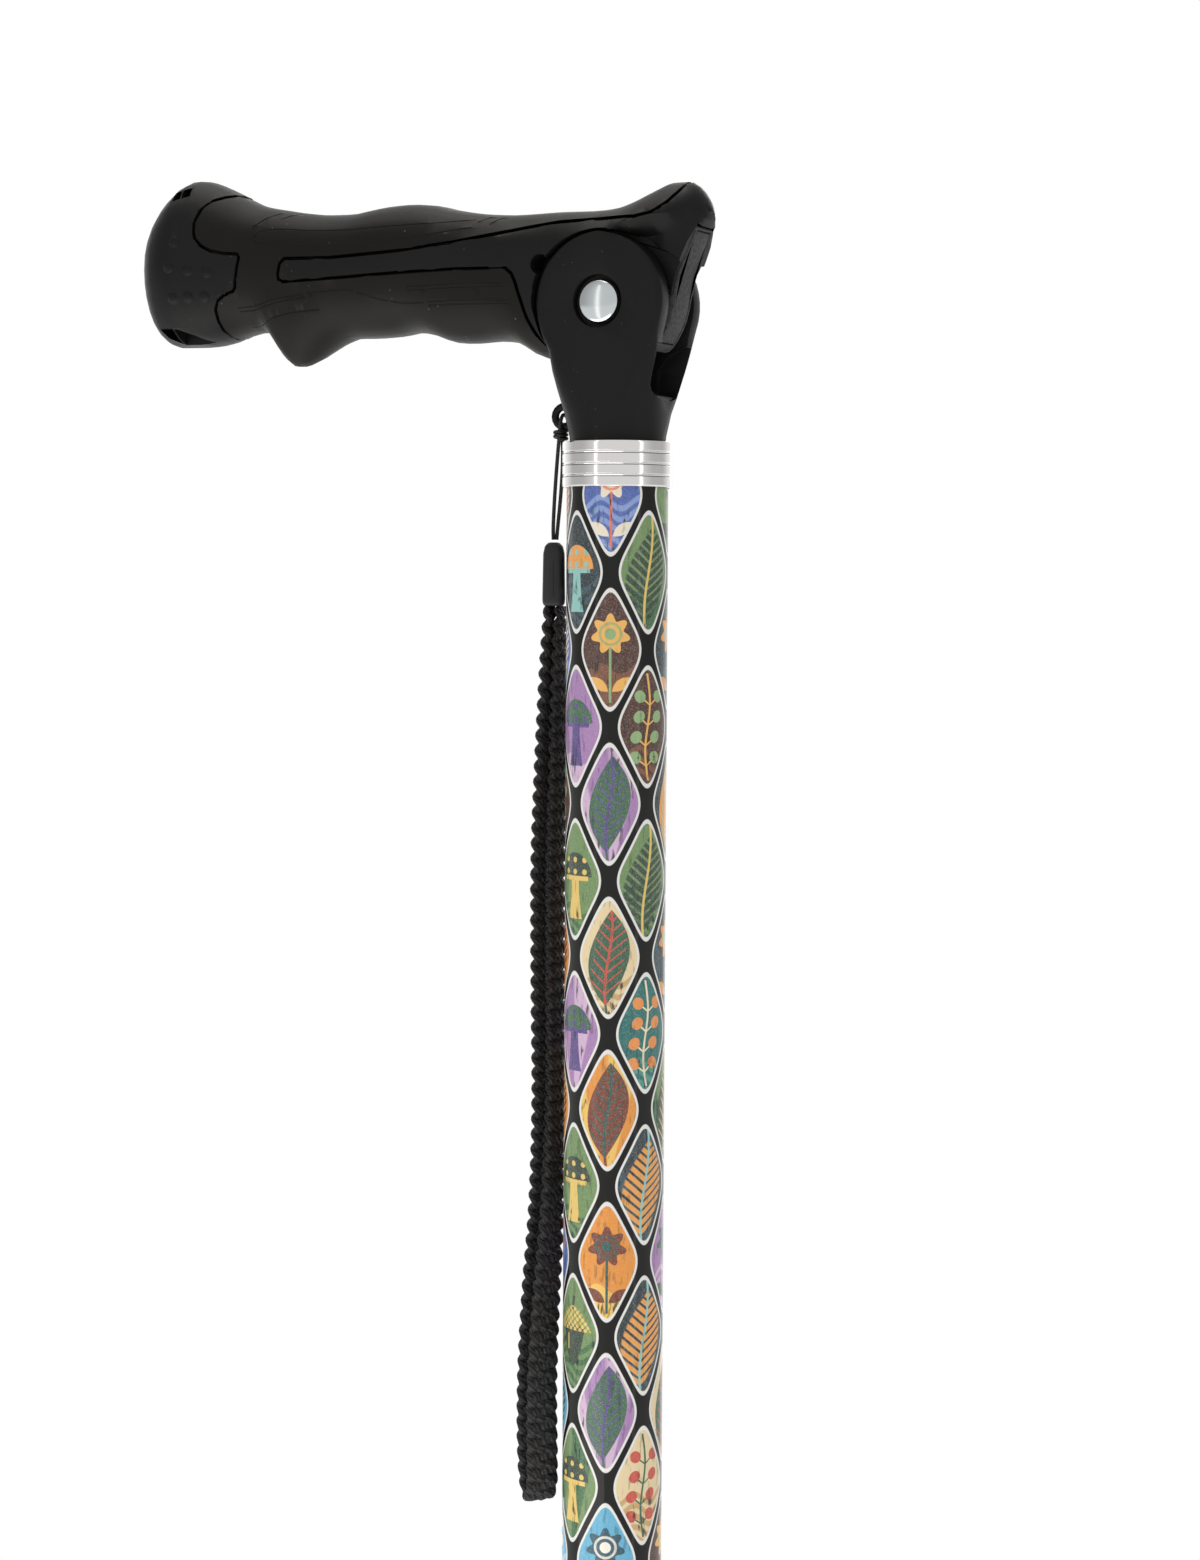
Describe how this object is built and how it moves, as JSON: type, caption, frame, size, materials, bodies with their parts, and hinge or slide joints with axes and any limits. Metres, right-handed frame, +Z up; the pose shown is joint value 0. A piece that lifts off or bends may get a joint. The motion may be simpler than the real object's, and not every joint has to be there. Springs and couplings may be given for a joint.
{
  "type": "hiking staff",
  "caption": "Hiking staff whose contoured handle swings from cane to upright grip on a latched fork, over a telescoping printed shaft with rubber foot and wrist strap.",
  "frame": {"origin": "centre of the rubber foot's sole, on the ground", "axes": "+Z up the shaft, -X along the handle towards the pommel in cane mode, -Y the side seen in the picture"},
  "size_m": [0.14, 0.036, 0.902],
  "materials": {
    "soft_grip": "matt soft-touch thermoplastic rubber",
    "hard_black": "satin black glass-filled nylon",
    "lever_grey": "finely textured dark grey plastic",
    "chrome": "polished chrome",
    "steel": "plain turned steel",
    "bronze": "sintered bronze",
    "ribbed_aluminium": "polished aluminium with turned grooves",
    "printed_tube": "printed film under gloss clear coat",
    "anodised_tube": "black satin anodised",
    "rubber": "matt moulded rubber",
    "nylon": "black moulded nylon",
    "braid": "braided black polyester"
  },
  "bodies": {
    "shaft_head": {"fork": "hard_black", "collar": "ribbed_aluminium", "spigot_pin": "steel", "upper_tube": "printed_tube", "pivot_bolt": "chrome", "pivot_nut": "chrome", "hex_sleeve": "steel", "index_disc": "steel", "near_thrust_washer": "nylon", "far_thrust_washer": "nylon", "end_sleeve": "nylon", "anti_rattle_bush": "rubber", "cord_loop": "braid", "cord_hitch": "braid", "crimp_cap": "hard_black", "wrist_strap": "braid"},
    "handle": {"handle_core": "hard_black", "grip_overmould": "soft_grip", "pommel_cap": "hard_black", "cap_screw": "steel", "near_bush": "bronze", "far_bush": "bronze", "lever_pin": "steel", "lever_spring": "steel"},
    "lever": {"latch_lever": "lever_grey", "lever_pad": "lever_grey"},
    "lower_shaft": {"lower_tube": "anodised_tube", "tube_guide": "nylon", "ferrule": "rubber", "ferrule_washer": "steel", "button_spring": "steel"},
    "button": {"snap_button": "chrome"},
    "ring": {"locking_ring": "nylon"}
  },
  "joints": [
    {"name": "handle_pivot", "type": "hinge", "parent": "shaft_head", "child": "handle", "pos_m": [0, 0, 0.87035], "axis": [0, 1, 0], "range_deg": [0, 90]},
    {"name": "latch_press", "type": "hinge", "parent": "handle", "child": "lever", "pos_m": [0.0132, 0, 0.87295], "axis": [0, -1, 0], "range_deg": [0, 11], "stiffness_Nm_per_rad": 0.02, "springref_deg": -11.46, "deforming": ["lever_spring"]},
    {"name": "height_slide", "type": "slide", "parent": "shaft_head", "child": "lower_shaft", "axis": [0, 0, -1], "range_m": [-0.0508, 0.1016]},
    {"name": "button_press", "type": "slide", "parent": "lower_shaft", "child": "button", "axis": [0, 1, 0], "range_m": [0, 0.0032], "stiffness_N_per_m": 300, "springref_m": -0.002, "deforming": ["button_spring"]},
    {"name": "ring_turn", "type": "hinge", "parent": "shaft_head", "child": "ring", "pos_m": [0, 0, 0.2822], "axis": [0, 0, 1], "range_deg": [0, 90]}
  ]
}
